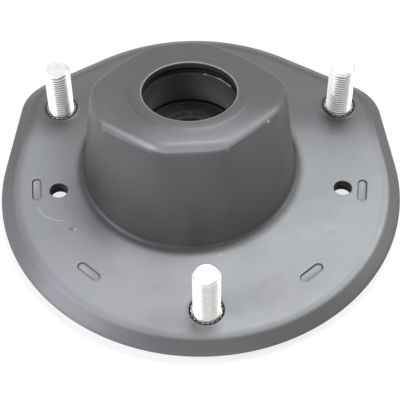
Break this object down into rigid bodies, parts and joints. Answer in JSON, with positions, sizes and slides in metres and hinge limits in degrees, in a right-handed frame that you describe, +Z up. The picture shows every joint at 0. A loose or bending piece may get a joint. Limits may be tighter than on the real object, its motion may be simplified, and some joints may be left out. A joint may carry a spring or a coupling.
{
  "type": "strut mount",
  "caption": "Front strut mount: pressed steel plate with a tilted eight-sided tower, serrated threaded studs, and a rubber-cushioned sealed ball bearing inside.",
  "frame": {"origin": "under the middle of the plate, level with the undersides of the three stud heads", "axes": "+Z up, along the studs; -Y towards the round front of the plate, where the single stud is; the axis of the tower and bearing leans from +Z towards +Y"},
  "size_m": [0.181, 0.1834, 0.0597],
  "materials": {
    "black_coat": "satin black coating on pressed steel",
    "rubber": "dull moulded rubber",
    "zinc": "bright zinc plating",
    "bearing_steel": "ground bearing steel",
    "dark_steel": "blackened steel",
    "cage_plastic": "moulded plastic"
  },
  "bodies": {
    "mount": {"upper_plate": "black_coat", "lower_plate": "black_coat", "rubber_cushion": "rubber", "bearing_housing": "black_coat", "bearing_outer_race": "bearing_steel", "upper_seal": "rubber", "lower_seal": "rubber", "stud_front": "zinc", "stud_left": "zinc", "stud_right": "zinc"},
    "inner_ring": {"bearing_inner_race": "dark_steel"},
    "ball_set": {"ball_cage": "cage_plastic", "ball_1": "bearing_steel", "ball_2": "bearing_steel", "ball_3": "bearing_steel", "ball_4": "bearing_steel", "ball_5": "bearing_steel", "ball_6": "bearing_steel", "ball_7": "bearing_steel"}
  },
  "joints": [
    {"name": "inner_race_turn", "type": "hinge", "parent": "mount", "child": "inner_ring", "pos_m": [-0.0046, 0.00555, 0.02781], "axis": [0, 0.1695, 0.9855], "continuous": true},
    {"name": "cage_turn", "type": "hinge", "parent": "mount", "child": "ball_set", "pos_m": [-0.0046, 0.00555, 0.02781], "axis": [0, 0.1695, 0.9855], "continuous": true}
  ],
  "couplings": [
    {"joint": "cage_turn", "follows": "inner_race_turn", "ratio": 0.36406}
  ]
}
